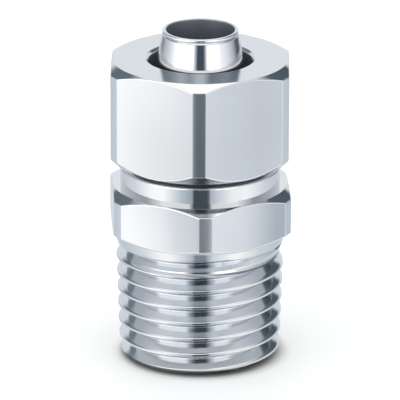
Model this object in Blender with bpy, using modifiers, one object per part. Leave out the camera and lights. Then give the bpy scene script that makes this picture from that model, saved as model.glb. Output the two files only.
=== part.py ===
"""Stainless insert fitting with a union nut, for 8 x 6 mm soft tube and an R 1/4 port.

The fitting stands on the end of its taper thread, with its axis on +Z and the origin at the
centre of the end face. A corner of the body's hexagon points along -Y.
The body is one turned and milled piece: taper thread, hexagon, collar, nut thread and the
nozzle that the tube is pushed over. The union nut runs on the nut thread and presses the
sleeve, which lies round the tube inside the nut, against the tube on the nozzle.
The nut is drawn as the fitting is supplied, run down to just above the collar.
"""
import math

import bmesh
import bpy
from mathutils import Matrix

MM = 0.001
SEGMENTS = 48
SMOOTH_ANGLE = math.radians(20.0)
MERGE_DISTANCE = 0.001 * MM

# How far a thread's cutter runs past the wall it cuts, as a share of the pitch, and how
# long the bar is that a hexagon is milled with, as a share of its piece
GROOVE_OVERSHOOT = 0.08
BAR_LENGTHS = 3

# The tube, outside and inside, and the play that the sleeve and the nut leave round it
TUBE_OUTER_DIAMETER = 8.0 * MM
TUBE_INNER_DIAMETER = 6.0 * MM
SLEEVE_PLAY = 0.25 * MM
NUT_BORE_PLAY = 0.2 * MM

# Port thread: R 1/4, 19 threads per inch, 55 degrees, on a taper of 1 in 16
PORT_GAUGE_DIAMETER = 13.157 * MM
PORT_GAUGE_LENGTH = 6.01 * MM
PORT_PITCH = 25.4 / 19 * MM
PORT_THREAD_ANGLE = math.radians(55.0)
PORT_TAPER = 1 / 16
PORT_THREAD_LENGTH = 8.65 * MM
PORT_DEPTH_RATIO = 0.6403
PORT_CREST_RATIO = 1 / 6
PORT_CREST_HEIGHT = 4.57 * MM
PORT_END_CHAMFER = 0.56 * MM
PORT_GROOVE_RISE = 0.8 * MM
PORT_RUN_OUT = 0.18 * MM

# Neck between the port thread and the hexagon
NECK_LENGTH = 1.85 * MM
NECK_STEP = 0.36 * MM

# Hexagons: one spanner size for both, the turned corner and the face circle as shares of it
ACROSS_FLATS = 14.0 * MM
CORNERS = 6
CORNER_RATIO = 1.114
FACE_RATIO = 0.993
HEX_CHAMFER = math.radians(30.0)
NUT_LOWER_CHAMFER = math.radians(45.0)
BODY_HEX_LENGTH = 3.8 * MM

# Nut thread: M12 x 1, round the tube, with room for the sleeve between them, and the relief
# under it. The depths and the widths of the grooves at their mouths are shares of the
# pitch, as in any metric thread
THREAD_ROOM = 2.0 * MM
NUT_THREAD_DIAMETER = TUBE_OUTER_DIAMETER + 2 * THREAD_ROOM
NUT_THREAD_PITCH = 1.0 * MM
NUT_THREAD_ANGLE = math.radians(60.0)
MALE_DEPTH_RATIO = 0.6134
MALE_MOUTH_RATIO = 7 / 8
FEMALE_DEPTH_RATIO = 0.5413
FEMALE_MOUTH_RATIO = 3 / 4
NUT_THREAD_LENGTH = 2.65 * MM
THREAD_PLAY = 0.08 * MM
RELIEF_LENGTH = 1.0 * MM
RELIEF_DEPTH = 0.1 * MM
THREAD_LEAD_IN = 0.4 * MM

# Collar above the hexagon, a little wider than the nut thread
COLLAR_STEP = 0.35 * MM
COLLAR_DIAMETER = NUT_THREAD_DIAMETER + 2 * COLLAR_STEP
COLLAR_LENGTH = 1.65 * MM
EDGE_BREAK = 0.12 * MM

# Nozzle: how far it stands out of the nut, its neck in the tube and the barb that widens it.
# The barb's slope is in degrees
NOZZLE_REACH = 2.33 * MM
NOZZLE_PLAY = 0.04 * MM
NOZZLE_WALL = 0.3 * MM
BARB_SWELL = 0.39 * MM
BARB_DIAMETER = TUBE_INNER_DIAMETER + 2 * BARB_SWELL
BARB_LENGTH = 2.68 * MM
BARB_SLOPE = 9.0
BARB_FILLET = 0.1 * MM
FILLET_STEPS = 5
RIM_STEPS = 8
BORE_DIAMETER = TUBE_INNER_DIAMETER - 2 * NOZZLE_WALL
BORE_CHAMFER = 0.3 * MM

# Union nut: its gap over the collar, its turn against the body and what is inside
NUT_GAP = 0.39 * MM
NUT_TURN = math.radians(-4.0)
NUT_MOUTH_CHAMFER = 0.65 * MM
NUT_THREAD_SPARE = 0.3 * MM
NUT_UNDERCUT_LENGTH = 0.9 * MM
NUT_UNDERCUT_DEPTH = 0.1 * MM
NUT_CONE = math.radians(34.0)
NUT_BORE_LENGTH = 1.37 * MM
NUT_BORE_EDGE = 0.22 * MM

# Sleeve: its play in the nut, and over the shoulder when the nut is down on the collar
SLEEVE_NUT_PLAY = 0.08 * MM
SLEEVE_SEAT_PLAY = 0.2 * MM
SLEEVE_NOSE_WALL = 0.3 * MM
SLEEVE_EDGE = 0.15 * MM

# Heights of the body that follow, up the axis
NECK_BASE = PORT_THREAD_LENGTH
HEX_BASE = NECK_BASE + NECK_LENGTH
HEX_TOP = HEX_BASE + BODY_HEX_LENGTH
COLLAR_TOP = HEX_TOP + COLLAR_LENGTH
NUT_THREAD_BASE = COLLAR_TOP + RELIEF_LENGTH
SHOULDER = NUT_THREAD_BASE + NUT_THREAD_LENGTH
NUT_BASE = COLLAR_TOP + NUT_GAP

# Radii that follow
BORE_RADIUS = BORE_DIAMETER / 2
NOZZLE_NECK_RADIUS = (TUBE_INNER_DIAMETER - NOZZLE_PLAY) / 2
MALE_RADIUS = NUT_THREAD_DIAMETER / 2 - THREAD_PLAY
MALE_DEPTH = MALE_DEPTH_RATIO * NUT_THREAD_PITCH
FEMALE_RADIUS = NUT_THREAD_DIAMETER / 2 - FEMALE_DEPTH_RATIO * NUT_THREAD_PITCH
NUT_BORE_RADIUS = (TUBE_OUTER_DIAMETER + NUT_BORE_PLAY) / 2
SLEEVE_BORE_RADIUS = (TUBE_OUTER_DIAMETER + SLEEVE_PLAY) / 2
SLEEVE_NOSE_RADIUS = SLEEVE_BORE_RADIUS + SLEEVE_NOSE_WALL

# Inside the nut, from its lower face: the thread, the undercut, the cone and the bore
NUT_THREAD_DEPTH = SHOULDER - COLLAR_TOP + NUT_THREAD_SPARE
CONE_BASE = NUT_THREAD_DEPTH + NUT_UNDERCUT_LENGTH
CONE_TOP = CONE_BASE + (FEMALE_RADIUS - NUT_BORE_RADIUS) / math.tan(NUT_CONE)
NUT_HEIGHT = CONE_TOP + NUT_BORE_LENGTH

# The sleeve's ends, over the body's end face: its nose is up in the nut's cone
NOSE_CLEARANCE = SLEEVE_NUT_PLAY / math.cos(NUT_CONE)
NOSE_HEIGHT = (FEMALE_RADIUS - NOSE_CLEARANCE - SLEEVE_NOSE_RADIUS) / math.tan(NUT_CONE)
SLEEVE_BASE = SHOULDER + NUT_GAP + SLEEVE_SEAT_PLAY
SLEEVE_LENGTH = NUT_BASE + CONE_BASE + NOSE_HEIGHT - SLEEVE_BASE

# The nozzle, which ends over the nut
NOZZLE_TIP = NUT_BASE + NUT_HEIGHT + NOZZLE_REACH
BARB_BASE = NOZZLE_TIP - BARB_LENGTH


def port_radius(height):
    """Crest radius of the taper thread at a height over the end face."""
    return PORT_GAUGE_DIAMETER / 2 + (height - PORT_GAUGE_LENGTH) * PORT_TAPER / 2


def arc(radius, height, size, start, end, steps):
    """Points of a round edge in the profile, as (radius, height), between two angles."""
    angles = [math.radians(start + (end - start) * i / steps) for i in range(steps + 1)]
    return [(radius + size * math.cos(a), height + size * math.sin(a)) for a in angles]


def collection(name, hidden=False):
    """A collection of the scene; a hidden one holds the cutters."""
    group = bpy.data.collections.new(name)
    group.hide_render = hidden
    bpy.context.scene.collection.children.link(group)
    return group


def steel(name, colour, roughness):
    """A stainless steel with its own tone and polish."""
    material = bpy.data.materials.new(name)
    material.use_nodes = True
    shader = material.node_tree.nodes["Principled BSDF"]
    shader.inputs["Base Color"].default_value = (*colour, 1.0)
    shader.inputs["Metallic"].default_value = 1.0
    shader.inputs["Roughness"].default_value = roughness
    return material


def turned(name, profile, group):
    """A turned piece: its closed profile, down the outer side first, swept round the axis."""
    sketch = bmesh.new()
    points = [sketch.verts.new((radius, 0.0, height)) for radius, height in profile]
    for start, end in zip(points, points[1:] + points[:1]):
        sketch.edges.new((start, end))
    mesh = bpy.data.meshes.new(name)
    sketch.to_mesh(mesh)
    sketch.free()
    piece = bpy.data.objects.new(name, mesh)
    group.objects.link(piece)
    sweep = piece.modifiers.new("turning", "SCREW")
    sweep.steps = SEGMENTS
    sweep.render_steps = SEGMENTS
    sweep.merge_threshold = MERGE_DISTANCE
    return piece


def cutter(name, shape, group):
    """Puts a finished cutter shape in the cutters' collection, as a wire outline."""
    bmesh.ops.recalc_face_normals(shape, faces=shape.faces)
    mesh = bpy.data.meshes.new(name)
    shape.to_mesh(mesh)
    shape.free()
    tool = bpy.data.objects.new(name, mesh)
    tool.display_type = "WIRE"
    tool.hide_render = True
    group.objects.link(tool)
    return tool


def hexagon(name, height, turn, group):
    """A six-sided bar with a corner along -Y, longer than the piece that is milled to it."""
    bar = bmesh.new()
    corner = ACROSS_FLATS / 2 / math.cos(math.pi / CORNERS)
    bmesh.ops.create_cone(
        bar, cap_ends=True, segments=CORNERS, radius1=corner, radius2=corner,
        depth=BAR_LENGTHS * height, matrix=Matrix.Rotation(turn, 4, "Z"),
    )
    return cutter(name, bar, group)


def groove(mouth_radius, depth, mouth_width, angle, overshoot):
    """Section of a thread groove as (radius, height) points, its mouth carried past the wall.

    A positive depth cuts inwards from a shaft, a negative one outwards from a bore.
    """
    slope = math.tan(angle / 2)
    outward = math.copysign(overshoot, depth)
    wide = mouth_width / 2 + overshoot * slope
    narrow = mouth_width / 2 - abs(depth) * slope
    return [
        (mouth_radius + outward, -wide), (mouth_radius - depth, -narrow),
        (mouth_radius - depth, narrow), (mouth_radius + outward, wide),
    ]


def helical_cutter(name, section, pitch, height, base, top, group, taper=0.0, run_out=0.0):
    """Sweeps a groove's section up a right-hand helix, its middle from base to top.

    The groove's middle passes the +X side at the given height. With a taper the radii are
    those at height zero. The tool is drawn out over the last run_out of its climb.
    """
    shape = bmesh.new()
    depth = max(radius for radius, _ in section) - min(radius for radius, _ in section)
    first = math.floor((base - height) / pitch * SEGMENTS)
    last = math.ceil((top - height) / pitch * SEGMENTS)
    rings = []
    for index in range(first, last + 1):
        angle = 2 * math.pi * index / SEGMENTS
        middle = height + pitch * index / SEGMENTS
        drawn = depth * max(0.0, 1 - (top - middle) / run_out) if run_out else 0.0
        ring = []
        for radius, offset in section:
            reach = radius + (middle + offset) * taper / 2 + drawn
            ring.append(shape.verts.new(
                (reach * math.cos(angle), reach * math.sin(angle), middle + offset)))
        rings.append(ring)
    for lower, upper in zip(rings, rings[1:]):
        for i in range(len(section)):
            j = (i + 1) % len(section)
            shape.faces.new((lower[i], lower[j], upper[j], upper[i]))
    shape.faces.new(rings[0])
    shape.faces.new(rings[-1])
    return cutter(name, shape, group)


def cut(piece, tool, operation="DIFFERENCE"):
    """Cuts or mills a piece with a cutter that stands in the piece's own place."""
    tool.parent = piece
    step = piece.modifiers.new(tool.name, "BOOLEAN")
    step.object = tool
    step.operation = operation
    step.solver = "EXACT"


def finish(piece, material):
    """Makes the cuts final, gives the piece its steel and shades its round faces smooth."""
    weld = piece.modifiers.new("slivers", "WELD")
    weld.merge_threshold = MERGE_DISTANCE
    bpy.context.view_layer.update()
    graph = bpy.context.evaluated_depsgraph_get()
    mesh = bpy.data.meshes.new_from_object(piece.evaluated_get(graph))
    mesh.name = piece.name
    piece.modifiers.clear()
    piece.data = mesh
    mesh.materials.clear()
    mesh.materials.append(material)
    mesh.shade_smooth()
    mesh.set_sharp_from_angle(angle=SMOOTH_ANGLE)


def hex_profile(base, top, lower_chamfer):
    """Outer side of a turned hexagon blank from its top face to its lower face."""
    corner = ACROSS_FLATS / 2 * CORNER_RATIO
    face = ACROSS_FLATS / 2 * FACE_RATIO
    return [
        (face, top),
        (corner, top - (corner - face) * math.tan(HEX_CHAMFER)),
        (corner, base + (corner - face) * math.tan(lower_chamfer)),
        (face, base),
    ]


def body_profile():
    """The body before its hexagon is milled and its threads are cut."""
    rim = NOZZLE_WALL / 2
    barb = BARB_DIAMETER / 2
    male_root = MALE_RADIUS - MALE_DEPTH
    collar = COLLAR_DIAMETER / 2
    chamfer_top = port_radius(PORT_END_CHAMFER)
    outer = arc(BORE_RADIUS + rim, NOZZLE_TIP - rim, rim, 180, BARB_SLOPE, RIM_STEPS)
    outer += arc(
        barb - BARB_FILLET, BARB_BASE + BARB_FILLET, BARB_FILLET, BARB_SLOPE, -90, FILLET_STEPS)
    outer += [
        (NOZZLE_NECK_RADIUS, BARB_BASE),
        (NOZZLE_NECK_RADIUS, SHOULDER),
        (MALE_RADIUS - THREAD_LEAD_IN, SHOULDER),
        (MALE_RADIUS, SHOULDER - THREAD_LEAD_IN),
        (MALE_RADIUS, NUT_THREAD_BASE),
        (male_root - RELIEF_DEPTH, NUT_THREAD_BASE - (MALE_DEPTH + RELIEF_DEPTH) / 2),
        (male_root - RELIEF_DEPTH, COLLAR_TOP),
        (collar - EDGE_BREAK, COLLAR_TOP),
        (collar, COLLAR_TOP - EDGE_BREAK),
        (collar, HEX_TOP),
    ]
    outer += hex_profile(HEX_BASE, HEX_TOP, HEX_CHAMFER)
    outer += [
        (port_radius(NECK_BASE) - NECK_STEP, NECK_BASE),
        (port_radius(NECK_BASE), NECK_BASE - NECK_STEP * math.tan(PORT_THREAD_ANGLE / 2)),
        (chamfer_top, PORT_END_CHAMFER),
        (chamfer_top - PORT_END_CHAMFER, 0.0),
    ]
    bore = [
        (BORE_RADIUS + BORE_CHAMFER, 0.0),
        (BORE_RADIUS, BORE_CHAMFER),
    ]
    return outer + bore


def nut_profile():
    """The nut from its own lower face up, before its hexagon is milled and its thread cut."""
    undercut = NUT_THREAD_DIAMETER / 2 + NUT_UNDERCUT_DEPTH
    rise = (undercut - FEMALE_RADIUS) / 2
    inside = [
        (FEMALE_RADIUS + NUT_MOUTH_CHAMFER, 0.0),
        (FEMALE_RADIUS, NUT_MOUTH_CHAMFER),
        (FEMALE_RADIUS, NUT_THREAD_DEPTH),
        (undercut, NUT_THREAD_DEPTH + rise),
        (undercut, CONE_BASE),
        (FEMALE_RADIUS, CONE_BASE),
        (NUT_BORE_RADIUS, CONE_TOP),
        (NUT_BORE_RADIUS, NUT_HEIGHT - NUT_BORE_EDGE),
        (NUT_BORE_RADIUS + NUT_BORE_EDGE, NUT_HEIGHT),
    ]
    return hex_profile(0.0, NUT_HEIGHT, NUT_LOWER_CHAMFER) + inside


def sleeve_profile():
    """The sleeve from its own lower face up: a ring whose nose matches the nut's cone."""
    outer = FEMALE_RADIUS - SLEEVE_NUT_PLAY
    nose_length = (outer - SLEEVE_NOSE_RADIUS) / math.tan(NUT_CONE)
    return [
        (SLEEVE_NOSE_RADIUS, SLEEVE_LENGTH),
        (outer, SLEEVE_LENGTH - nose_length),
        (outer, SLEEVE_EDGE),
        (outer - SLEEVE_EDGE, 0.0),
        (SLEEVE_BORE_RADIUS, 0.0),
        (SLEEVE_BORE_RADIUS, SLEEVE_LENGTH),
    ]


def make_body(parts, cutters):
    """The body: turned blank, milled hexagon, port thread and nut thread."""
    body = turned("fitting_body", body_profile(), parts)
    cut(body, hexagon("body_hexagon", NOZZLE_TIP, 0.0, cutters), "INTERSECT")

    port_groove = groove(
        port_radius(0.0), PORT_PITCH * PORT_DEPTH_RATIO, PORT_PITCH * (1 - PORT_CREST_RATIO),
        PORT_THREAD_ANGLE, GROOVE_OVERSHOOT * PORT_PITCH,
    )
    # The crest's height is that on the -Y side, a quarter turn before +X
    cut(body, helical_cutter(
        "port_groove", port_groove, PORT_PITCH, PORT_CREST_HEIGHT + PORT_PITCH * 3 / 4,
        -PORT_PITCH, NECK_BASE + PORT_GROOVE_RISE, cutters, PORT_TAPER, PORT_RUN_OUT,
    ))

    nut_groove = groove(
        MALE_RADIUS, MALE_DEPTH, NUT_THREAD_PITCH * MALE_MOUTH_RATIO, NUT_THREAD_ANGLE,
        GROOVE_OVERSHOOT * NUT_THREAD_PITCH,
    )
    cut(body, helical_cutter(
        "nut_thread_groove", nut_groove, NUT_THREAD_PITCH, SHOULDER,
        COLLAR_TOP + NUT_THREAD_PITCH / 2 + EDGE_BREAK, SHOULDER + NUT_THREAD_PITCH, cutters,
    ))
    return body


def make_sleeve(parts):
    """The sleeve, a plain turned ring."""
    return turned("sleeve", sleeve_profile(), parts)


def make_nut(parts, cutters):
    """The nut: turned blank, milled hexagon and a thread in mesh with the body's."""
    nut = turned("union_nut", nut_profile(), parts)
    cut(nut, hexagon("nut_hexagon", NUT_HEIGHT, NUT_TURN, cutters), "INTERSECT")
    nut_groove = groove(
        FEMALE_RADIUS, FEMALE_RADIUS - NUT_THREAD_DIAMETER / 2,
        NUT_THREAD_PITCH * FEMALE_MOUTH_RATIO, NUT_THREAD_ANGLE,
        GROOVE_OVERSHOOT * NUT_THREAD_PITCH,
    )
    cut(nut, helical_cutter(
        "nut_groove", nut_groove, NUT_THREAD_PITCH,
        SHOULDER - NUT_BASE + NUT_THREAD_PITCH / 2, -NUT_THREAD_PITCH,
        NUT_THREAD_DEPTH + NUT_UNDERCUT_LENGTH / 2, cutters,
    ))
    return nut


def main():
    """Clears the scene, makes the three pieces, seats them and makes their cuts final."""
    for leftover in list(bpy.data.objects):
        bpy.data.objects.remove(leftover)
    parts = collection("insert_fitting")
    cutters = collection("cutters", hidden=True)

    body = make_body(parts, cutters)
    sleeve = make_sleeve(parts)
    nut = make_nut(parts, cutters)

    sleeve.parent = body
    sleeve.location.z = SLEEVE_BASE
    nut.parent = sleeve
    nut.location.z = NUT_BASE - SLEEVE_BASE

    finish(body, steel("bright_stainless_body", (0.72, 0.73, 0.75), 0.16))
    finish(sleeve, steel("turned_stainless_sleeve", (0.62, 0.63, 0.65), 0.3))
    finish(nut, steel("bright_stainless_nut", (0.75, 0.76, 0.78), 0.14))


main()
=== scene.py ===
"""Looks of a stainless tube fitting: its polished steel pieces, a light tent and a camera.

The fitting stands on the end of its taper thread. Each of its three pieces is remodelled here
with rounded edges and fine threads, and stands for the plain solid of the same place.
Lengths are in metres and angles in radians, but azimuths and heights of the tent in degrees.
"""
import math

import bmesh
import bpy
from mathutils import Matrix, Vector


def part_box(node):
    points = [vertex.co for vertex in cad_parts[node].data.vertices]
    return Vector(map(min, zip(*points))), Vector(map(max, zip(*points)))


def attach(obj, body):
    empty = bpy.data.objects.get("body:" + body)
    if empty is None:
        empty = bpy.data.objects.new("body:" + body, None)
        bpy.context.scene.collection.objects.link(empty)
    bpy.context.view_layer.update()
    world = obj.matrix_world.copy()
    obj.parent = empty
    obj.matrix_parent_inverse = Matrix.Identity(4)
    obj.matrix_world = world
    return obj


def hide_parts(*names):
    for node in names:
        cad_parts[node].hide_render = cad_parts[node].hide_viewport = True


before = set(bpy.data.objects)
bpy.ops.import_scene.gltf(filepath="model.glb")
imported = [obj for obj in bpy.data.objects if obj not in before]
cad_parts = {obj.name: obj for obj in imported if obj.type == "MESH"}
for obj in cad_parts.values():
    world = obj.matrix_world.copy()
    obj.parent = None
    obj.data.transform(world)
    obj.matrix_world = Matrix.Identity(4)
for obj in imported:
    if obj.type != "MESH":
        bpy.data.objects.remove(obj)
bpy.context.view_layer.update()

MM = 0.001
TURN = 2 * math.pi

# Places and sizes that the frame gives
BODY_LOW, BODY_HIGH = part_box("fitting_body")
NUT_LOW, NUT_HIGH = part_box("union_nut")
SLEEVE_LOW, SLEEVE_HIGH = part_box("sleeve")
FLAT = (BODY_HIGH.x - BODY_LOW.x) / 2
NOZZLE_TIP = BODY_HIGH.z
NUT_BASE = NUT_LOW.z
NUT_TOP = NUT_HIGH.z

# Hexagons: radius of the turned corners and of the end faces, and the chamfers' slopes
CORNERS = 6
CORNER = FLAT * 1.114
FACE = FLAT * 0.992
CHAMFER = math.tan(math.radians(30.0))
LOWER_CHAMFER = 1.0

# Port thread: R 1/4, on a taper of 1 in 16
PORT_PITCH = 25.4 / 19 * MM
PORT_TAPER = 1 / 32
PORT_CREST = (13.157 / 2 - 6.01 / 32) * MM
PORT_DEPTH = 1.03 * MM
PORT_MOUTH = PORT_PITCH * 5 / 12
PORT_ROOT_EDGE = 0.02 * MM
PORT_CREST_EDGE = 0.14 * MM
PORT_HEIGHT = 4.57 * MM + PORT_PITCH * 3 / 4
PORT_TOP = 9.3 * MM
PORT_RUN_OUT = 0.3 * MM
PORT_ANGLE = math.radians(55.0)
PORT_TURNS = 8
END_CHAMFER = 0.56 * MM

# Body: neck, hexagon, collar, nut thread and nozzle, up the axis
NECK_BASE = 8.65 * MM
NECK = 6.3 * MM
NECK_BEND = 0.3
HEX_BASE = 10.5 * MM
HEX_TOP = 14.3 * MM
COLLAR = 6.35 * MM
COLLAR_TOP = 15.95 * MM
COLLAR_EDGE = COLLAR_TOP - 0.2 * MM
COLLAR_CHAMFER = 0.4 * MM
RELIEF = 5.207 * MM
THREAD_BASE = 16.95 * MM
SHOULDER = 19.6 * MM
NUT_THREAD = 5.92 * MM
NUT_PITCH = 1.0 * MM
NUT_ANGLE = math.radians(60.0)
NUT_THREAD_DEPTH = 0.6134 * NUT_PITCH
BOLT_ROOT_EDGE = 0.07 * MM
NUT_CREST_EDGE = 0.03 * MM
BOLT_TURNS = 4
LEAD_IN = 0.4 * MM
NOZZLE = 2.98 * MM
BARB = 3.45 * MM
BARB_WAIST = 3.05 * MM
BARB_BASE = NOZZLE_TIP - 2.68 * MM
WAIST_HEIGHT = NOZZLE_TIP - 0.38 * MM
RIM = 3.005 * MM
RIM_GROOVE = 0.04 * MM
RIM_GROOVE_BASE = NOZZLE_TIP - 0.3 * MM
RIM_BASE = NOZZLE_TIP - 0.24 * MM
BORE = 2.7 * MM
BORE_CHAMFER = 0.3 * MM

# Inside the nut and the sleeve
NUT_BORE = 4.1 * MM
NUT_MOUTH = 4.33 * MM
NUT_MOUTH_BASE = NUT_TOP - 0.22 * MM
NUT_MINOR = 5.4587 * MM
NUT_ROOT = 6.0 * MM
NUT_ROOT_EDGE = 0.04 * MM
NUT_LEAD_IN = 0.65 * MM
NUT_TURNS = 6
NUT_GROOVE_END = NUT_BASE + 4.4 * MM
UNDERCUT = 6.1 * MM
UNDERCUT_BASE = NUT_BASE + 3.95 * MM
UNDERCUT_SLOPE = 0.32 * MM
CONE_BASE = NUT_BASE + 4.85 * MM
CONE_TOP = NUT_TOP - 1.7 * MM
SLEEVE_BORE = 4.125 * MM
SLEEVE_NOSE = 4.425 * MM
SLEEVE_OUTER = NUT_MINOR - 0.08 * MM
SLEEVE_SHOULDER = SLEEVE_HIGH.z - 1.41 * MM

# The nut's turn against the body
NUT_TURN = math.radians(-4.0)

# A thread cutter's sides: how wide, how far lifted and how far out of the steel, by the pitch
CUTTER_WIDTH = 0.49
CREST_LIFT = 0.1
CUTTER_CLEARANCE = 0.12

# Fineness: columns round a turned piece, steps of a thread in one turn, points of an edge
COLUMNS = 360
THREAD_STEPS = 180
EDGE_POINTS = 6
SHARP = math.radians(40.0)
JOINED = 0.0001 * MM

# Edges: broken edges of the steel, and half the width of the break at a milled corner
EDGE = 0.07 * MM
FACE_EDGE = 0.04 * MM
CORNER_BREAK = math.radians(0.2)


def colour(code):
    """An sRGB hex colour as the linear values that a shader takes."""
    parts = [int(code[i:i + 2], 16) / 255 for i in (1, 3, 5)]
    linear = [p / 12.92 if p <= 0.04045 else ((p + 0.055) / 1.055) ** 2.4 for p in parts]
    return (*linear, 1.0)


def add_node(tree, kind, inputs=None, **settings):
    """Adds a node with its settings; an input is a value or the socket that it is linked to."""
    made = tree.nodes.new(kind)
    for name, value in settings.items():
        setattr(made, name, value)
    for key, value in (inputs or {}).items():
        if isinstance(value, bpy.types.NodeSocket):
            tree.links.new(value, made.inputs[key])
        else:
            made.inputs[key].default_value = value
    return made


def softened(corners):
    """Points of an outline, from its corners as (radius, height, edge, mill), with round edges.

    edge is how far the rounding runs from the corner. mill is 1 or -1 at the upper or the
    lower corner of a hexagon blank, which milling moves along its chamfer, and 0 elsewhere.
    """
    points = []
    for i, (radius, height, edge, mill) in enumerate(corners):
        here = Vector((radius, height))
        if not edge:
            points.append((here, mill))
            continue
        before = Vector(corners[i - 1][:2]) - here
        after = Vector(corners[(i + 1) % len(corners)][:2]) - here
        start = here + before.normalized() * min(edge, before.length * 0.49)
        end = here + after.normalized() * min(edge, after.length * 0.49)
        for k in range(EDGE_POINTS):
            t = k / (EDGE_POINTS - 1)
            points.append((start * (1 - t) ** 2 + here * 2 * t * (1 - t) + end * t ** 2, mill))
    return points


def repeated(shape, count, turn, rise):
    """Copies all of the bmesh count times, each copy turned and raised from the one before."""
    made = shape.verts[:] + shape.edges[:] + shape.faces[:]
    for _ in range(count):
        made = bmesh.ops.duplicate(shape, geom=made)["geom"]
        verts = [v for v in made if isinstance(v, bmesh.types.BMVert)]
        bmesh.ops.rotate(shape, verts=verts, matrix=Matrix.Rotation(turn, 3, "Z"))
        bmesh.ops.translate(shape, verts=verts, vec=(0, 0, rise))
    bmesh.ops.remove_doubles(shape, verts=shape.verts, dist=JOINED)


def turned(corners):
    """Spins a closed outline round the axis, a sixth at a time, and returns the bmesh."""
    shape = bmesh.new()
    mill = shape.verts.layers.int.new("mill")
    ring = []
    for point, side in softened(corners):
        vert = shape.verts.new((point.x, 0.0, point.y))
        vert[mill] = side
        ring.append(vert)
    edges = [shape.edges.new(pair) for pair in zip(ring, ring[1:] + ring[:1])]
    sixth = TURN / CORNERS
    bmesh.ops.spin(shape, geom=ring + edges, cent=(0, 0, 0), axis=(0, 0, 1), angle=sixth,
                   steps=COLUMNS // CORNERS)
    repeated(shape, CORNERS - 1, sixth, 0.0)
    return shape


def mill_hexagon(shape, lower_slope):
    """Mills six flats: pulls the blank's corners in to the flats, along its chamfers."""
    mill = shape.verts.layers.int["mill"]
    sixth = TURN / CORNERS
    crease = math.acos(FLAT / CORNER)
    for vert in shape.verts:
        azimuth = math.atan2(vert.co.y, vert.co.x)
        from_flat = (azimuth + sixth / 2) % sixth - sixth / 2
        past = abs(from_flat) - crease
        if abs(past) < TURN / COLUMNS:
            kept = crease + math.copysign(CORNER_BREAK, past)
            azimuth += math.copysign(kept, from_flat) - from_flat
            from_flat = math.copysign(kept, from_flat)
        radius = math.hypot(vert.co.x, vert.co.y)
        if vert[mill]:
            cut = max(0.0, CORNER - FLAT / math.cos(from_flat))
            radius -= cut
            vert.co.z += cut * CHAMFER if vert[mill] > 0 else -cut * lower_slope
        vert.co.x = radius * math.cos(azimuth)
        vert.co.y = radius * math.sin(azimuth)


def groove(mouth, root, half_mouth, angle, round_root, flare, pitch):
    """Section of a thread's groove, as corners: flanks, round root and a flare to round crests."""
    outward = math.copysign(1.0, mouth - root)
    narrow = half_mouth - abs(mouth - root) * math.tan(angle / 2)
    wide = pitch * CUTTER_WIDTH
    lift = outward * (wide - half_mouth) * CREST_LIFT
    clear = mouth + outward * pitch * CUTTER_CLEARANCE
    return [
        (clear, -wide, 0.0, 0), (mouth + lift, -wide, 0.0, 0), (mouth, -half_mouth, flare, 0),
        (root, -narrow, round_root, 0), (root, narrow, round_root, 0),
        (mouth, half_mouth, flare, 0), (mouth + lift, wide, 0.0, 0), (clear, wide, 0.0, 0),
    ]


def thread_cutter(corners, pitch, height, top, turns, taper=0.0, run_out=0.0, depth=0.0):
    """Sweeps a groove's section along a right-hand helix that passes height at the +X side.

    It reaches top after the given number of whole turns. A run-out carries it on from there by
    a rise of run_out, while it is drawn out of the steel by depth.
    """
    shape = bmesh.new()
    end = TURN * (top - height) / pitch
    out = Vector((math.cos(end), math.sin(end), 0.0))
    ring = [shape.verts.new(out * p.x + Vector((0, 0, p.y + top))) for p, _ in softened(corners)]
    ring += [shape.edges.new(pair) for pair in zip(ring, ring[1:] + ring[:1])]
    rise = Vector((0, 0, pitch / THREAD_STEPS))
    bmesh.ops.spin(shape, geom=ring, cent=(0, 0, 0), axis=(0, 0, 1), dvec=-rise, angle=-TURN,
                   steps=THREAD_STEPS)
    repeated(shape, turns - 1, 0.0, -pitch)
    if run_out:
        steps = round(run_out / rise.z)
        angle = TURN * steps / THREAD_STEPS
        swept = set(shape.verts)
        bmesh.ops.spin(shape, geom=ring, cent=(0, 0, 0), axis=(0, 0, 1), dvec=rise, angle=angle,
                       steps=steps)
        for vert in (v for v in shape.verts if v not in swept):
            away = Vector((vert.co.x, vert.co.y, 0))
            share = (math.atan2(vert.co.y, vert.co.x) - end) % TURN / angle
            vert.co += away.normalized() * depth * share
    bmesh.ops.holes_fill(shape, edges=[e for e in shape.edges if e.is_boundary], sides=0)
    for vert in shape.verts:
        away = Vector((vert.co.x, vert.co.y, 0))
        vert.co += away.normalized() * vert.co.z * taper
    bmesh.ops.recalc_face_normals(shape, faces=shape.faces)
    return shape


def piece(name, shape):
    """Puts a bmesh in the scene as an object that sits at the origin, its faces outwards."""
    bmesh.ops.recalc_face_normals(shape, faces=shape.faces)
    if shape.calc_volume(signed=True) < 0:
        bmesh.ops.reverse_faces(shape, faces=shape.faces)
    mesh = bpy.data.meshes.new(name)
    shape.to_mesh(mesh)
    shape.free()
    made = bpy.data.objects.new(name, mesh)
    bpy.context.scene.collection.objects.link(made)
    return made


def cut(blank, *cutters):
    """Cuts the blank with each cutter, makes the cuts final and removes the cutters."""
    for tool in cutters:
        step = blank.modifiers.new(tool.name, "BOOLEAN")
        step.object = tool
        step.operation = "DIFFERENCE"
        step.solver = "MANIFOLD"
    bpy.context.view_layer.update()
    graph = bpy.context.evaluated_depsgraph_get()
    mesh = bpy.data.meshes.new_from_object(blank.evaluated_get(graph))
    clean = bmesh.new()
    clean.from_mesh(mesh)
    bmesh.ops.remove_doubles(clean, verts=clean.verts, dist=JOINED)
    clean.to_mesh(mesh)
    clean.free()
    blank.modifiers.clear()
    blank.data = mesh
    for tool in cutters:
        bpy.data.objects.remove(tool)


# Finishes, in the order in which every piece holds their materials
TURNED, MILLED, BAR, FACED, CUT, BORED_PAINTED_SHADE, PARTED = range(7)

# A face counts as upright or level where its normal leans from that by less than this
LEAN = 0.02


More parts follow.
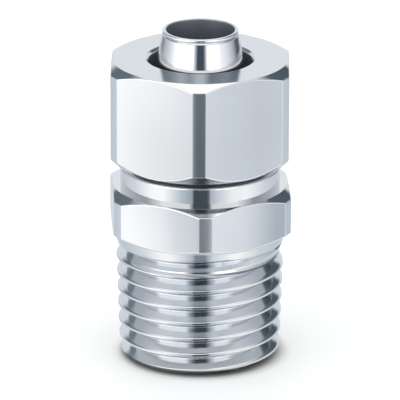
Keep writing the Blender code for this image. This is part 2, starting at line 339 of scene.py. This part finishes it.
def outside_finish(centre, normal):
    """The finish of an outer surface: a hexagon's flat, corner or end face, or a turned form."""
    reach = centre.x * normal.x + centre.y * normal.y
    upright = abs(normal.z) < LEAN
    if upright and abs(reach - FLAT) < EDGE / 2:
        return MILLED
    if upright and abs(reach - CORNER) < EDGE / 2:
        return BAR
    return FACED if normal.z > 1 - LEAN and centre.z > NUT_TOP - EDGE else TURNED


def even_shading(mesh):
    """Weights the normals at each corner by area, so that broad faces mirror without a bend."""
    near = math.cos(SHARP)
    around = [[] for _ in mesh.vertices]
    for face in mesh.polygons:
        weighted = face.normal * face.area
        for vert in face.vertices:
            around[vert].append((face.normal, weighted))
    normals = []
    for face in mesh.polygons:
        own = face.normal
        for vert in face.vertices:
            same = [weighted for normal, weighted in around[vert] if own.dot(normal) > near]
            normals.append(sum(same, Vector()).normalized())
    mesh.normals_split_custom_set(normals)


def finish_piece(made, body, materials, pick=None):
    """Shades a piece, gives its faces their materials and lets it stand for its solid."""
    mesh = made.data
    mesh.materials.clear()
    for material in materials:
        mesh.materials.append(material)
    for face in mesh.polygons:
        face.material_index = pick(face.center, face.normal) if pick else 0
    mesh.shade_smooth()
    mesh.set_sharp_from_angle(angle=SHARP)
    even_shading(mesh)
    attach(made, body)
    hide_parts(body)


def body_corners():
    """Outline of the body's blank, from the nozzle's mouth down its outer side and up the bore."""
    end = PORT_CREST + END_CHAMFER * PORT_TAPER
    neck_crest = PORT_CREST + NECK_BASE * PORT_TAPER
    return [
        (BORE, NOZZLE_TIP, 0.1 * MM, 0),
        (RIM, NOZZLE_TIP, 0.13 * MM, 0),
        (RIM, RIM_BASE, 0.06 * MM, 0),
        (RIM - RIM_GROOVE, RIM_GROOVE_BASE, 0.03 * MM, 0),
        (BARB_WAIST, WAIST_HEIGHT, 0.05 * MM, 0),
        (BARB, BARB_BASE, 0.1 * MM, 0),
        (NOZZLE, BARB_BASE, 0.0, 0),
        (NOZZLE, SHOULDER, 0.1 * MM, 0),
        (NUT_THREAD - LEAD_IN, SHOULDER, 0.05 * MM, 0),
        (NUT_THREAD, SHOULDER - LEAD_IN, 0.05 * MM, 0),
        (NUT_THREAD, THREAD_BASE, 0.0, 0),
        (RELIEF, THREAD_BASE - (NUT_THREAD - RELIEF) / 2, 0.1 * MM, 0),
        (RELIEF, COLLAR_TOP, 0.1 * MM, 0),
        (COLLAR - COLLAR_CHAMFER, COLLAR_TOP, 0.05 * MM, 0),
        (COLLAR, COLLAR_EDGE, 0.1 * MM, 0),
        (COLLAR, HEX_TOP, 0.0, 0),
        (FACE, HEX_TOP, FACE_EDGE / 2, 0),
        (CORNER, HEX_TOP - (CORNER - FACE) * CHAMFER, EDGE, 1),
        (CORNER, HEX_BASE + (CORNER - FACE) * CHAMFER, EDGE, -1),
        (FACE, HEX_BASE, FACE_EDGE, 0),
        (FACE + (NECK - FACE) * NECK_BEND, HEX_BASE + (NECK_BASE - HEX_BASE) * NECK_BEND, 0.0, 0),
        (NECK, NECK_BASE, 0.08 * MM, 0),
        (neck_crest, NECK_BASE - (neck_crest - NECK) / 2, 0.1 * MM, 0),
        (end, END_CHAMFER, 0.08 * MM, 0),
        (end - END_CHAMFER, 0.0, 0.08 * MM, 0),
        (BORE + BORE_CHAMFER, 0.0, 0.05 * MM, 0),
        (BORE, BORE_CHAMFER, 0.1 * MM, 0),
    ]


def make_body(materials):
    """The body: turned blank, milled hexagon, taper thread and nut thread."""
    shape = turned(body_corners())
    mill_hexagon(shape, CHAMFER)
    body = piece("stainless_body", shape)

    section = groove(PORT_CREST, PORT_CREST - PORT_DEPTH, PORT_MOUTH, PORT_ANGLE,
                     PORT_ROOT_EDGE, PORT_CREST_EDGE, PORT_PITCH)
    port = piece("port_groove", thread_cutter(
        section, PORT_PITCH, PORT_HEIGHT, PORT_TOP, PORT_TURNS, PORT_TAPER, PORT_RUN_OUT,
        PORT_DEPTH * 1.1))

    section = groove(NUT_THREAD, NUT_THREAD - NUT_THREAD_DEPTH, NUT_PITCH * 7 / 16,
                     NUT_ANGLE, BOLT_ROOT_EDGE, NUT_CREST_EDGE, NUT_PITCH)
    fine = piece("nut_thread_groove", thread_cutter(
        section, NUT_PITCH, SHOULDER, SHOULDER + NUT_PITCH, BOLT_TURNS))
    cut(body, port, fine)

    def pick(centre, normal):
        radius = math.hypot(centre.x, centre.y)
        # The bore's faces take the bored finish, whose darker tone is painted shade
        if radius < NOZZLE and centre.x * normal.x + centre.y * normal.y < -radius / 2:
            return BORED_PAINTED_SHADE
        if centre.z < NECK_BASE + MM and radius < NECK:
            return CUT
        if THREAD_BASE < centre.z < SHOULDER and radius > NOZZLE + EDGE:
            return CUT
        # The collar's top, in the gap under the nut, takes the same painted shade
        if abs(centre.z - COLLAR_TOP) < EDGE and normal.z > 0.9:
            return BORED_PAINTED_SHADE
        return outside_finish(centre, normal)

    finish_piece(body, "fitting_body", materials, pick)


def make_nut(materials):
    """The union nut: turned blank, milled hexagon and internal thread."""
    shape = turned([
        (NUT_BORE, NUT_MOUTH_BASE, 0.08 * MM, 0),
        (NUT_MOUTH, NUT_TOP, 0.06 * MM, 0),
        (FACE, NUT_TOP, FACE_EDGE, 0),
        (CORNER, NUT_TOP - (CORNER - FACE) * CHAMFER, EDGE, 1),
        (CORNER, NUT_BASE + (CORNER - FACE) * LOWER_CHAMFER, EDGE, -1),
        (FACE, NUT_BASE, FACE_EDGE, 0),
        (NUT_MINOR + NUT_LEAD_IN, NUT_BASE, 0.06 * MM, 0),
        (NUT_MINOR, NUT_BASE + NUT_LEAD_IN, 0.0, 0),
        (NUT_MINOR, UNDERCUT_BASE, 0.05 * MM, 0),
        (UNDERCUT, UNDERCUT_BASE + UNDERCUT_SLOPE, 0.1 * MM, 0),
        (UNDERCUT, CONE_BASE, 0.1 * MM, 0),
        (NUT_MINOR, CONE_BASE, 0.05 * MM, 0),
        (NUT_BORE, CONE_TOP, 0.1 * MM, 0),
    ])
    mill_hexagon(shape, LOWER_CHAMFER)
    bmesh.ops.rotate(shape, verts=shape.verts, matrix=Matrix.Rotation(NUT_TURN, 3, "Z"))
    nut = piece("stainless_nut", shape)
    section = groove(NUT_MINOR, NUT_ROOT, NUT_PITCH * 3 / 8, NUT_ANGLE,
                     NUT_ROOT_EDGE, NUT_CREST_EDGE, NUT_PITCH)
    cut(nut, piece("nut_groove", thread_cutter(
        section, NUT_PITCH, SHOULDER + NUT_PITCH / 2, NUT_GROOVE_END, NUT_TURNS)))

    def pick(centre, normal):
        # The nut's inside takes the bored finish with its painted shade
        if math.hypot(centre.x, centre.y) < UNDERCUT and centre.z < NUT_TOP - 3 * EDGE:
            return BORED_PAINTED_SHADE
        if normal.z < -0.5:
            return PARTED
        return outside_finish(centre, normal)

    finish_piece(nut, "union_nut", materials, pick)


def make_sleeve(materials):
    """The sleeve: a turned ring with a tapered nose."""
    shape = turned([
        (SLEEVE_BORE, SLEEVE_HIGH.z, 0.05 * MM, 0),
        (SLEEVE_NOSE, SLEEVE_HIGH.z, 0.06 * MM, 0),
        (SLEEVE_OUTER, SLEEVE_SHOULDER, 0.1 * MM, 0),
        (SLEEVE_OUTER, SLEEVE_LOW.z, 0.15 * MM, 0),
        (SLEEVE_BORE, SLEEVE_LOW.z, 0.1 * MM, 0),
    ])

    def pick(centre, normal):
        # The sleeve's bore takes the bored finish with its painted shade
        return BORED_PAINTED_SHADE if math.hypot(centre.x, centre.y) < SLEEVE_BORE + EDGE else TURNED

    finish_piece(piece("stainless_sleeve", shape), "sleeve", materials, pick)


def steel(name, tone, roughness):
    """Starts a stainless steel material: its tree, its shader and Object coordinates."""
    material = bpy.data.materials.new(name)
    material.use_nodes = True
    tree = material.node_tree
    shader = tree.nodes["Principled BSDF"]
    shader.inputs["Base Color"].default_value = colour(tone)
    shader.inputs["Metallic"].default_value = 1.0
    shader.inputs["Roughness"].default_value = roughness
    place = add_node(tree, "ShaderNodeTexCoord").outputs["Object"]
    return material, tree, shader, place


def rings(tree, place, feed, spread):
    """Turning marks: a noise that changes along the axis or the radius, once in every feed."""
    parts = add_node(tree, "ShaderNodeSeparateXYZ", {"Vector": place})
    flat = add_node(tree, "ShaderNodeVectorMath", {0: place, 1: (1, 1, 0)}, operation="MULTIPLY")
    radius = add_node(tree, "ShaderNodeVectorMath", {0: flat.outputs[0]}, operation="LENGTH")
    across = add_node(tree, "ShaderNodeCombineXYZ", {
        "X": radius.outputs["Value"], "Y": parts.outputs["Z"]})
    scaled = add_node(tree, "ShaderNodeVectorMath", {0: across.outputs[0], "Scale": 1 / feed},
                      operation="SCALE")
    return add_node(tree, "ShaderNodeTexNoise", {
        "Vector": scaled.outputs[0], "Scale": 1.0, "Detail": spread}).outputs["Fac"]


# How much the polish changes from ring to ring, as a share of the roughness
POLISH_CHANGE = 0.07


def turned_steel(name, tone, roughness, feed, depth):
    """Stainless steel from the lathe: fine rings of the tool's feed, polished to some degree.

    feed is the rings' spacing and depth their height. Both are drawn coarser than the real
    ones, a few hundredths of a millimetre apart, which would not show at all.
    """
    material, tree, shader, place = steel(name, tone, roughness)
    marks = rings(tree, place, feed, 2.0)
    relief = add_node(tree, "ShaderNodeBump", {"Height": marks, "Strength": 1.0, "Distance": depth})
    tree.links.new(relief.outputs["Normal"], shader.inputs["Normal"])
    polish = add_node(tree, "ShaderNodeMapRange", {
        "Value": marks, "From Min": 0.3, "From Max": 0.7,
        "To Min": roughness * (1 - POLISH_CHANGE), "To Max": roughness * (1 + POLISH_CHANGE)})
    tree.links.new(polish.outputs["Result"], shader.inputs["Roughness"])
    return material


# Milled flats: how much the clouds dim them, the clouds' size and waves, and how far the painted
# shade reaches across the fitting, with each tone's place along X in millimetres; the tones are
# painted shade and reflections, lighter towards -X and darker towards +X
CLOUD_WEIGHT = 0.3
CLOUD = 9.0 * MM
WAVE = 0.1 * MM
PAINTED_SHADE_SPAN = 16.0
NUT_PAINTED_SHADE = [
    (-6.5, "#DEDFE0"), (-2.6, "#CBCCCE"), (-1.0, "#C0C2C6"), (1.5, "#B6BBC2"), (4.3, "#B3B8BF"),
    (6.0, "#B9BEC5"),
]
BODY_PAINTED_SHADE = [
    (-6.0, "#DFE0E1"), (-3.5, "#CCCED0"), (-2.2, "#BABDC1"), (-0.2, "#AEB2B7"), (0.4, "#C8CBD0"),
    (3.0, "#C0C4CA"), (4.3, "#B0B6BD"), (5.7, "#9AA2AB"), (7.0, "#98A0A9"),
]


def ramp(tree, value, stops, span):
    """A colour by a value, from stops that lie within a span round nought."""
    made = add_node(tree, "ShaderNodeValToRGB", {"Fac": value})
    elements = made.color_ramp.elements
    while len(elements) < len(stops):
        elements.new(0.5)
    for element, (stop, code) in zip(elements, stops):
        element.position = stop / span + 0.5
        element.color = colour(code)
    return made.outputs["Color"]


def milled_steel_with_painted_shade(name, tones, roughness):
    """Milled and tumbled stainless steel: softly clouded, with painted shade and reflections in
    tones that change along X.
    """
    material, tree, shader, place = steel(name, tones[0][1], roughness)
    cloud = add_node(tree, "ShaderNodeTexNoise", {
        "Vector": place, "Scale": 1 / CLOUD, "Detail": 0.0}).outputs["Fac"]
    beside = add_node(tree, "ShaderNodeSeparateXYZ", {"Vector": place}).outputs["X"]
    across = add_node(tree, "ShaderNodeMath", {0: beside, 1: 1 / (PAINTED_SHADE_SPAN * MM), 2: 0.5},
                      operation="MULTIPLY_ADD").outputs[0]
    dim = add_node(tree, "ShaderNodeMath", {0: cloud, 1: -CLOUD_WEIGHT, 2: 1 + CLOUD_WEIGHT / 2},
                   operation="MULTIPLY_ADD").outputs[0]
    # Painted shade and reflections: the flats' colour goes lighter or darker by their place along X
    tone = ramp(tree, across, tones, PAINTED_SHADE_SPAN)
    tint = add_node(tree, "ShaderNodeVectorMath", {0: tone, "Scale": dim},
                    operation="SCALE").outputs[0]
    tree.links.new(tint, shader.inputs["Base Color"])
    relief = add_node(tree, "ShaderNodeBump", {"Height": cloud, "Strength": 1.0, "Distance": WAVE})
    tree.links.new(relief.outputs["Normal"], shader.inputs["Normal"])
    return material


# Camera: where it stands round the axis, its height, and the point of the axis it looks at
CAMERA_AZIMUTH = math.radians(-93.4)
CAMERA_AWAY = 380.0 * MM
CAMERA_HEIGHT = 144.6 * MM
CAMERA_AIM = 12.67 * MM
CAMERA_LENS = 455.2
CAMERA_ROLL = math.radians(0.16)


def make_camera():
    """A long lens, as in product photographs, that looks down at the fitting."""
    data = bpy.data.cameras.new("camera")
    data.lens = CAMERA_LENS
    data.sensor_width = 36.0
    data.clip_start = 10 * MM
    data.clip_end = 10.0
    camera = bpy.data.objects.new("camera", data)
    bpy.context.scene.collection.objects.link(camera)
    camera.location = (CAMERA_AWAY * math.cos(CAMERA_AZIMUTH),
                       CAMERA_AWAY * math.sin(CAMERA_AZIMUTH), CAMERA_HEIGHT)
    look = Vector((0, 0, CAMERA_AIM)) - camera.location
    turn = look.to_track_quat("-Z", "Y").to_matrix() @ Matrix.Rotation(CAMERA_ROLL, 3, "Z")
    camera.rotation_euler = turn.to_euler()
    bpy.context.scene.camera = camera


# The light tent, as bands of cloth one above the other, from the table's level up: its front
# edge, the wall, the horizon with its softboxes, the ring over them, flags and the roof. Each
# goes from behind the fitting, by its left, the camera and its right, in degrees from the
# camera. A narrow dark gap lies behind the camera, with a softbox at either side of it.
TABLE = [
    (-180, "#B4BBC2"), (-130, "#C6CBD0"), (-60, "#FAFAFB"), (-30, "#D2D7DC"), (-13, "#A8B2BC"),
    (-8, "#77838E"), (10, "#77838E"), (15, "#A0A9B2"), (24, "#CCD2D8"), (60, "#F2F4F5"),
    (130, "#C6CBD0"), (180, "#B4BBC2"),
]
WALL = [
    (-180, "#BCC3CA"), (-144, "#B6BFC8"), (-108, "#CCD2D8"), (-74, "#F6F7F8"), (-54, "#F9FAFB"),
    (-28, "#B8C1CA"), (-11, "#949EA8"), (-9, "#3F474F"), (12, "#434B53"), (14, "#A4AEB8"),
    (26, "#C4CBD2"), (46, "#E8EBED"), (70, "#F2F3F4"), (108, "#C8CFD6"), (140, "#B9C1C9"),
    (180, "#BCC3CA"),
]
HORIZON = [
    (-180, "#979BA0"), (-164, "#9498A0"), (-154, "#898D94"), (-143, "#62666C"), (-132, "#5F6369"),
    (-120, "#7D8187"), (-108, "#888C92"), (-96, "#989CA2"), (-84, "#AAACB0"), (-76, "#B8B9BB"),
    (-68, "#F4F4F4"), (-24, "#F0F1F2"), (-16, "#93979C"), (-10, "#565B61"), (-8, "#2D343B"),
    (9, "#2D343B"), (12, "#656A70"), (20, "#C2C4C6"), (26, "#F0F1F2"), (44, "#F0F1F2"),
    (56, "#B2B4B7"), (72, "#A5A8AC"), (84, "#979BA0"), (96, "#868A90"), (108, "#71757B"),
    (118, "#494E54"), (132, "#2F353B"), (143, "#5C6167"), (156, "#95989D"), (180, "#979BA0"),
]
# The softboxes' strength, since a ramp's colours end at white
HORIZON_STRENGTH = 2.0
RING = [
    (-180, "#DADDE0"), (-140, "#C8CDD2"), (-84, "#A4ACB4"), (-54, "#FFFFFF"), (-16, "#F0F2F4"),
    (-9, "#3F474F"), (12, "#3F474F"), (18, "#ECEEF0"), (54, "#FFFFFF"), (84, "#98A0A8"),
    (140, "#C8CDD2"), (180, "#DADDE0"),
]
FLAGS = [
    (-180, "#DADDE0"), (-157, "#D4D8DC"), (-151, "#5C6670"), (-135, "#66707A"), (-84, "#98A0A8"),
    (-60, "#B8BEC4"), (-32, "#98A0A8"), (-8, "#C4CAD0"), (8, "#C4CAD0"), (32, "#747E88"),
    (60, "#848D96"), (84, "#8C949C"),
    (135, "#525C66"), (157, "#48525C"), (168, "#CCD0D4"), (180, "#DADDE0"),
]
# The table's bright front edge, mirrored by the upper flanks of the port thread
TABLE_EDGE = [
    (-180, "#C8CCD0"), (-110, "#C8CCD0"), (-70, "#F4F5F6"), (-25, "#F4F5F6"), (-8, "#A8B0B8"),
    (10, "#A8B0B8"), (25, "#F4F5F6"), (70, "#F4F5F6"), (110, "#C8CCD0"), (180, "#C8CCD0"),
]
# Under the dark gap a grey slit is left open, as wide as this to either side
SLIT = 14
SLIT_TONE = "#B8BABC"
ROOF = "#FFFFFF"
TENT_STRENGTH = 1.39

# Heights in degrees between which each band goes over into the next
TABLE_EDGE_START = (-56, -53)
WALL_START = (-47, -43)
SLIT_START = (-14.5, -13.5)
HORIZON_START = (-11, -10)
RING_START = (5, 12)
FLAGS_START = (19, 25)
ROOF_START = (42, 62)


def cloth(tree, azimuth, stops):
    """Colours of one band of the tent by azimuth."""
    return ramp(tree, azimuth, stops, 360.0)


def softbox(tree, azimuth, stops):
    """Colours of the band in which the lamps stand, brighter than any cloth."""
    band = cloth(tree, azimuth, stops)
    return add_node(tree, "ShaderNodeVectorMath", {0: band, "Scale": HORIZON_STRENGTH},
                    operation="SCALE").outputs[0]


def above(tree, height, seam, lower, upper):
    """Goes over from the lower to the upper colour between the two heights of a seam."""
    share = add_node(tree, "ShaderNodeMapRange", {
        "Value": height, "From Min": math.sin(math.radians(seam[0])),
        "From Max": math.sin(math.radians(seam[1]))}, interpolation_type="SMOOTHSTEP")
    return add_node(tree, "ShaderNodeMix", {
        "Factor": share.outputs["Result"], 6: lower, 7: upper}, data_type="RGBA").outputs[2]


def make_tent():
    """The light tent round the fitting, as the world's light; the camera sees it plain white."""
    world = bpy.data.worlds.new("light_tent")
    bpy.context.scene.world = world
    world.use_nodes = True
    tree = world.node_tree
    tree.nodes.clear()
    place = add_node(tree, "ShaderNodeTexCoord")
    turn = add_node(tree, "ShaderNodeMapping", {
        "Vector": place.outputs["Generated"],
        "Rotation": (0.0, 0.0, -CAMERA_AZIMUTH - math.pi / 2)})
    way = add_node(tree, "ShaderNodeSeparateXYZ", {"Vector": turn.outputs["Vector"]})
    front = add_node(tree, "ShaderNodeMath", {0: way.outputs["Y"], 1: -1.0}, operation="MULTIPLY")
    angle = add_node(tree, "ShaderNodeMath", {0: way.outputs["X"], 1: front.outputs[0]},
                     operation="ARCTAN2")
    azimuth = add_node(tree, "ShaderNodeMath", {0: angle.outputs[0], 1: 1 / TURN, 2: 0.5},
                       operation="MULTIPLY_ADD").outputs[0]
    height = way.outputs["Z"]
    light = cloth(tree, azimuth, TABLE)
    gap = [stop for stop in HORIZON if stop[0] < -SLIT] + [(-SLIT, SLIT_TONE), (SLIT, SLIT_TONE)]
    gap += [stop for stop in HORIZON if stop[0] > SLIT]
    light = above(tree, height, TABLE_EDGE_START, light, cloth(tree, azimuth, TABLE_EDGE))
    light = above(tree, height, WALL_START, light, cloth(tree, azimuth, WALL))
    light = above(tree, height, SLIT_START, light, softbox(tree, azimuth, gap))
    light = above(tree, height, HORIZON_START, light, softbox(tree, azimuth, HORIZON))
    light = above(tree, height, RING_START, light, cloth(tree, azimuth, RING))
    light = above(tree, height, FLAGS_START, light, cloth(tree, azimuth, FLAGS))
    light = above(tree, height, ROOF_START, light, colour(ROOF))
    emitted = add_node(tree, "ShaderNodeBackground", {"Color": light, "Strength": TENT_STRENGTH})
    plain = add_node(tree, "ShaderNodeBackground", {"Color": colour("#FFFFFF"), "Strength": 1.0})
    ray = add_node(tree, "ShaderNodeLightPath")
    seen = add_node(tree, "ShaderNodeMixShader", {
        0: ray.outputs["Is Camera Ray"], 1: emitted.outputs[0], 2: plain.outputs[0]})
    add_node(tree, "ShaderNodeOutputWorld", {"Surface": seen.outputs[0]})


# Floor: its paper, how far out from the fitting its painted contact shadow reaches, and how much of
# it the steel mirrors
FLOOR_TONE = "#FCFBF9"
FLOOR_GLOW = 0.26
CONTACT_SHADOW = 1.3 * MM
MIRRORED = 9.0 * MM
MIRRORED_HEIGHT = 0.01 * MM


def paper():
    """White paper that glows a little in place of lamps outside the tent, with a painted shadow
    close to the fitting: ambient occlusion darkens its colour and its glow.
    """
    material = bpy.data.materials.new("white_paper_sweep")
    material.use_nodes = True
    tree = material.node_tree
    shader = tree.nodes["Principled BSDF"]
    shader.inputs["Roughness"].default_value = 0.9
    # Painted shadow: ambient occlusion darkens the paper's colour and its glow close to the fitting
    painted_contact_shadow = add_node(tree, "ShaderNodeAmbientOcclusion", {
        "Color": colour(FLOOR_TONE), "Distance": CONTACT_SHADOW}).outputs["Color"]
    tree.links.new(painted_contact_shadow, shader.inputs["Base Color"])
    tree.links.new(painted_contact_shadow, shader.inputs["Emission Color"])
    shader.inputs["Emission Strength"].default_value = FLOOR_GLOW
    return material


def make_floor():
    """A plain pale floor. The steel mirrors only the part of it that lies round the thread, with
    its painted contact shadow.
    """
    white = paper()
    shape = bmesh.new()
    bmesh.ops.create_grid(shape, x_segments=1, y_segments=1, size=2.0)
    floor = piece("floor", shape)
    floor.visible_glossy = False
    shape = bmesh.new()
    bmesh.ops.create_circle(shape, cap_ends=True, segments=96, radius=MIRRORED)
    bmesh.ops.translate(shape, verts=shape.verts, vec=(0, 0, MIRRORED_HEIGHT))
    near = piece("mirrored_floor", shape)
    near.visible_camera = False
    near.visible_diffuse = False
    near.visible_shadow = False
    for made in (floor, near):
        made.data.materials.append(white)


# Bright turned steel: barely visible rings; its reflections keep sharp edges
turned_bright = turned_steel("turned_polished_stainless", "#DCDDDE", 0.06, 0.06 * MM, 0.00002 * MM)
# Milled flats: tumbled after milling, so they are a little duller and softly clouded; their tones
# along X are painted shade and reflections
milled_nut_painted_shade = milled_steel_with_painted_shade("milled_nut_stainless_painted_shade", NUT_PAINTED_SHADE, 0.1)
milled_body_painted_shade = milled_steel_with_painted_shade("milled_body_stainless_painted_shade", BODY_PAINTED_SHADE, 0.1)
# Corners: what is left of the drawn hexagon bar once its corners are turned, less polished
bar_nut = steel("nut_corner_stainless", "#D6DADE", 0.18)[0]
bar_body = steel("body_corner_stainless", "#D6DADE", 0.27)[0]
# End faces: rings of the facing tool, which blur what they mirror along the radius
faced = turned_steel("faced_stainless", "#D6D8DB", 0.16, 0.05 * MM, 0.0003 * MM)
# Thread flanks: cut in one pass, a little rougher than the turned forms
cut_thread = turned_steel("thread_cut_stainless", "#D2D5D8", 0.09, 0.05 * MM, 0.00005 * MM)
# Bores and the collar's top: not polished, so light spreads over them; their darker tone is painted
# shade, since they lie in hollows or under the nut
bored_painted_shade = turned_steel("reamed_bore_stainless_painted_shade", "#B2B8BE", 0.5, 0.05 * MM, 0.0002 * MM)
# The nut's lower end: chamfered and parted off last, so a little less polished
parted = turned_steel("parted_off_stainless", "#D0D3D6", 0.11, 0.05 * MM, 0.00002 * MM)

body_finishes = [turned_bright, milled_body_painted_shade, bar_body, faced, cut_thread, bored_painted_shade, parted]
nut_finishes = [turned_bright, milled_nut_painted_shade, bar_nut, faced, cut_thread, bored_painted_shade, parted]
make_body(body_finishes)
make_nut(nut_finishes)
make_sleeve(nut_finishes)
make_floor()
make_tent()
make_camera()
scene = bpy.context.scene
scene.view_settings.view_transform = "Standard"
# Light that goes deep into the bore and the thread's grooves needs many reflections
scene.cycles.max_bounces = 24
scene.cycles.glossy_bounces = 24
